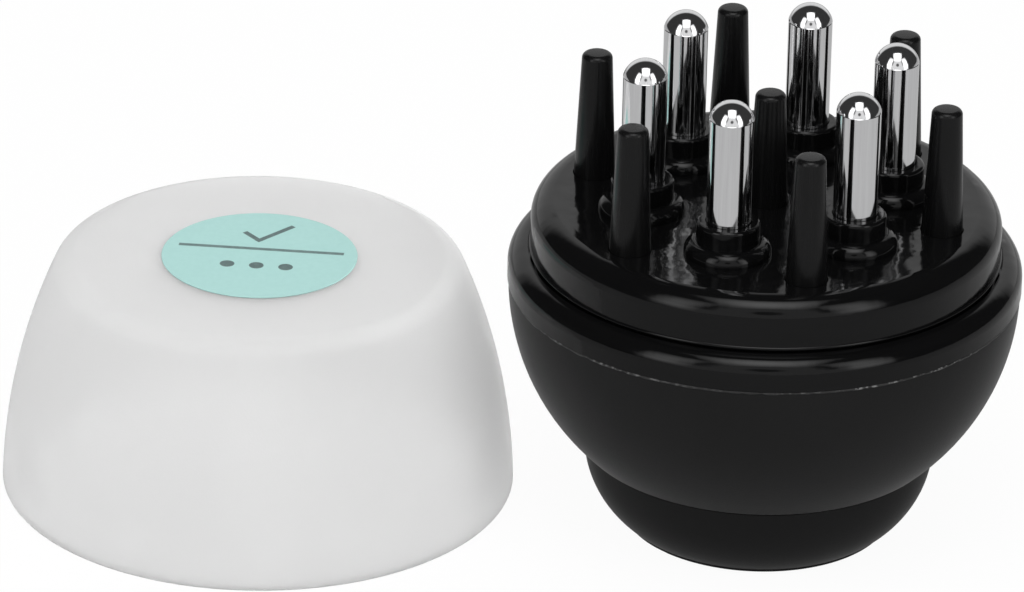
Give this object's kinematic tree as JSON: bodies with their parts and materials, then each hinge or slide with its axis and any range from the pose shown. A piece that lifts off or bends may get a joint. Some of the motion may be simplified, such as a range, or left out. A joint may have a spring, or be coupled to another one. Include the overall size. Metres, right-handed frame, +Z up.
{
  "type": "scalp applicator comb",
  "caption": "Palm-sized scalp applicator: round reservoir grip under a round head of sprung metal pins and comb teeth, with a screw-in base cup and a loose frosted dust cap.",
  "frame": {"origin": "centre of the base cup's underside, on the table", "axes": "+Z up along the comb's axis, the dust cap stands towards -X, the picture looks along +Y"},
  "size_m": [0.1296, 0.0732, 0.0645],
  "materials": {
    "grip_black": "soft matt",
    "gloss_black": "gloss",
    "tooth_black": "satin",
    "polished_metal": "mirror polish",
    "spring_steel": "drawn wire",
    "seal_rubber": "matt",
    "inner_plastic": "natural",
    "frosted_clear": "frosted",
    "label_paper": "satin paper"
  },
  "bodies": {
    "base_body": {"base_cup": "grip_black"},
    "seal_body": {"base_seal": "seal_rubber"},
    "comb_body": {"bowl": "grip_black", "collar_ring": "gloss_black", "head_plate": "gloss_black", "head_gasket": "seal_rubber", "valve_plate": "inner_plastic", "valve_screws": "spring_steel", "comb_tooth_1": "tooth_black", "comb_tooth_2": "tooth_black", "comb_tooth_3": "tooth_black", "comb_tooth_4": "tooth_black", "comb_tooth_5": "tooth_black", "comb_tooth_6": "tooth_black", "centre_tooth": "tooth_black", "pin_spring_1": "spring_steel", "pin_spring_2": "spring_steel", "pin_spring_3": "spring_steel", "pin_spring_4": "spring_steel", "pin_spring_5": "spring_steel", "pin_spring_6": "spring_steel"},
    "cap_body": {"dust_cap": "frosted_clear", "cap_label": "label_paper"},
    "pin_body_1": {"metal_pin_1": "polished_metal", "pin_seal_1": "seal_rubber"},
    "pin_body_2": {"metal_pin_2": "polished_metal", "pin_seal_2": "seal_rubber"},
    "pin_body_3": {"metal_pin_3": "polished_metal", "pin_seal_3": "seal_rubber"},
    "pin_body_4": {"metal_pin_4": "polished_metal", "pin_seal_4": "seal_rubber"},
    "pin_body_5": {"metal_pin_5": "polished_metal", "pin_seal_5": "seal_rubber"},
    "pin_body_6": {"metal_pin_6": "polished_metal", "pin_seal_6": "seal_rubber"}
  },
  "joints": [
    {"name": "pin_press_1", "type": "slide", "parent": "comb_body", "child": "pin_body_1", "axis": [0, 0, -1], "range_m": [0, 0.003], "stiffness_N_per_m": 300, "springref_m": -0.002, "deforming": ["pin_spring_1"]},
    {"name": "pin_press_2", "type": "slide", "parent": "comb_body", "child": "pin_body_2", "axis": [0, 0, -1], "range_m": [0, 0.003], "stiffness_N_per_m": 300, "springref_m": -0.002, "deforming": ["pin_spring_2"]},
    {"name": "pin_press_3", "type": "slide", "parent": "comb_body", "child": "pin_body_3", "axis": [0, 0, -1], "range_m": [0, 0.003], "stiffness_N_per_m": 300, "springref_m": -0.002, "deforming": ["pin_spring_3"]},
    {"name": "pin_press_4", "type": "slide", "parent": "comb_body", "child": "pin_body_4", "axis": [0, 0, -1], "range_m": [0, 0.003], "stiffness_N_per_m": 300, "springref_m": -0.002, "deforming": ["pin_spring_4"]},
    {"name": "pin_press_5", "type": "slide", "parent": "comb_body", "child": "pin_body_5", "axis": [0, 0, -1], "range_m": [0, 0.003], "stiffness_N_per_m": 300, "springref_m": -0.002, "deforming": ["pin_spring_5"]},
    {"name": "pin_press_6", "type": "slide", "parent": "comb_body", "child": "pin_body_6", "axis": [0, 0, -1], "range_m": [0, 0.003], "stiffness_N_per_m": 300, "springref_m": -0.002, "deforming": ["pin_spring_6"]},
    {"name": "bowl_turn", "type": "hinge", "parent": "base_body", "child": "seal_body", "pos_m": [0, 0, 0], "axis": [0, 0, 1], "range_deg": [0, 810]},
    {"name": "bowl_rise", "type": "slide", "parent": "seal_body", "child": "comb_body", "axis": [0, 0, 1], "range_m": [0, 0.0068]},
    {"name": "cap_lift", "type": "slide", "parent": "base_body", "child": "cap_body", "axis": [-0.0865, 0.0105, 0.9962], "range_m": [0, 0.08]}
  ],
  "couplings": [
    {"joint": "bowl_rise", "follows": "bowl_turn", "m_per_rad": 0.00047746}
  ]
}
